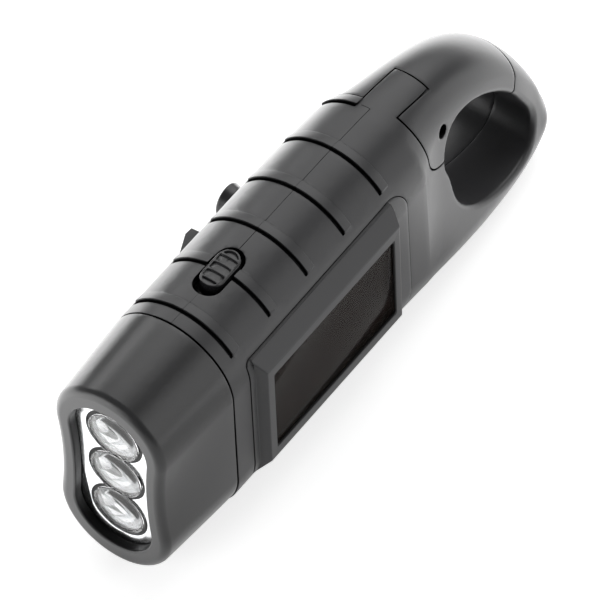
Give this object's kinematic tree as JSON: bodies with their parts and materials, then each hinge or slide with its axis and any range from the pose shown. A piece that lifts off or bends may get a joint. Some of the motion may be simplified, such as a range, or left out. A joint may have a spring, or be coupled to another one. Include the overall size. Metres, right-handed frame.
{
  "type": "hand crank flashlight",
  "caption": "Hand cranked LED flashlight with a solar panel on one side, a side crank with a generator inside, a slide switch and a snap loop.",
  "frame": {"origin": "centre of the bounding box of the whole flashlight at rest, crank and knob included", "axes": "+X from the lamps to the loop end, +Y towards the crank side, -Y towards the solar panel, +Z towards the narrow edge with the switch"},
  "size_m": [0.143, 0.0404, 0.0556],
  "materials": {
    "body_plastic": "fine satin charcoal moulding",
    "head_plastic": "smooth satin charcoal moulding",
    "crank_plastic": "satin black moulding",
    "switch_plastic": "satin black moulding",
    "mirror_plating": "bright vacuum plated plastic",
    "clear_lens": "clear polished plastic",
    "lamp_resin": "clear resin",
    "dark_window": "glossy, almost black, slightly brown",
    "cell_film": "dark thin film",
    "board": "green solder mask",
    "battery_sleeve": "shrink sleeve",
    "inner_plastic": "plain moulding",
    "gear_plastic": "natural acetal",
    "steel": "plated steel",
    "brass": "turned brass",
    "copper_wire": "enamelled copper wire",
    "magnet": "sintered magnet"
  },
  "bodies": {
    "torch": {"head_cap": "head_plastic", "reflector": "mirror_plating", "lens_strip": "clear_lens", "led_board": "board", "led_1": "lamp_resin", "led_2": "lamp_resin", "led_3": "lamp_resin", "panel_shell": "body_plastic", "crank_shell": "body_plastic", "solar_bezel": "body_plastic", "solar_window": "dark_window", "solar_cell": "cell_film", "switch_housing": "steel", "main_board": "board", "battery_pack": "battery_sleeve", "battery_clip": "inner_plastic", "gate_pin": "steel", "gate_spring": "steel", "first_shaft": "steel", "second_shaft": "steel", "gearbox_plate": "inner_plastic", "plate_screws": "steel", "generator_can": "steel", "generator_coil": "copper_wire", "shaft_bush": "brass", "shell_screws": "steel"},
    "gate": {"gate": "body_plastic"},
    "switch": {"switch_button": "switch_plastic", "switch_lever": "inner_plastic"},
    "crank": {"crank_arm": "crank_plastic", "crank_shaft": "steel", "crank_gear": "gear_plastic", "crank_screw": "steel", "knob_pin": "steel"},
    "knob": {"crank_knob": "crank_plastic"},
    "first_wheel": {"first_gear": "gear_plastic"},
    "second_wheel": {"second_gear": "gear_plastic"},
    "rotor": {"rotor_magnet": "magnet", "rotor_shaft": "steel", "rotor_pinion": "brass"}
  },
  "joints": [
    {"name": "crank_spin", "type": "hinge", "parent": "torch", "child": "crank", "pos_m": [0.01645, -0.00305, 0.00006], "axis": [0, 1, 0], "continuous": true},
    {"name": "knob_spin", "type": "hinge", "parent": "crank", "child": "knob", "pos_m": [-0.00025, -0.00305, 0.00006], "axis": [0, 1, 0], "continuous": true},
    {"name": "first_wheel_spin", "type": "hinge", "parent": "torch", "child": "first_wheel", "pos_m": [0.00325, -0.00305, 0.00006], "axis": [0, 1, 0], "continuous": true},
    {"name": "second_wheel_spin", "type": "hinge", "parent": "torch", "child": "second_wheel", "pos_m": [-0.01055, -0.00305, 0.00006], "axis": [0, 1, 0], "continuous": true},
    {"name": "rotor_spin", "type": "hinge", "parent": "torch", "child": "rotor", "pos_m": [-0.02435, -0.00305, 0.00006], "axis": [0, 1, 0], "continuous": true},
    {"name": "switch_slide", "type": "slide", "parent": "torch", "child": "switch", "axis": [-1, 0, 0], "range_m": [-0.001, 0.002]},
    {"name": "gate_swing", "type": "hinge", "parent": "torch", "child": "gate", "pos_m": [0.02935, -0.00305, 0.01476], "axis": [0, 1, 0], "range_deg": [0, 28], "stiffness_Nm_per_rad": 0.03, "springref_deg": -22.92}
  ],
  "couplings": [
    {"joint": "first_wheel_spin", "follows": "crank_spin", "ratio": -2.6667},
    {"joint": "second_wheel_spin", "follows": "crank_spin", "ratio": 7.5556},
    {"joint": "rotor_spin", "follows": "crank_spin", "ratio": -21.407}
  ]
}
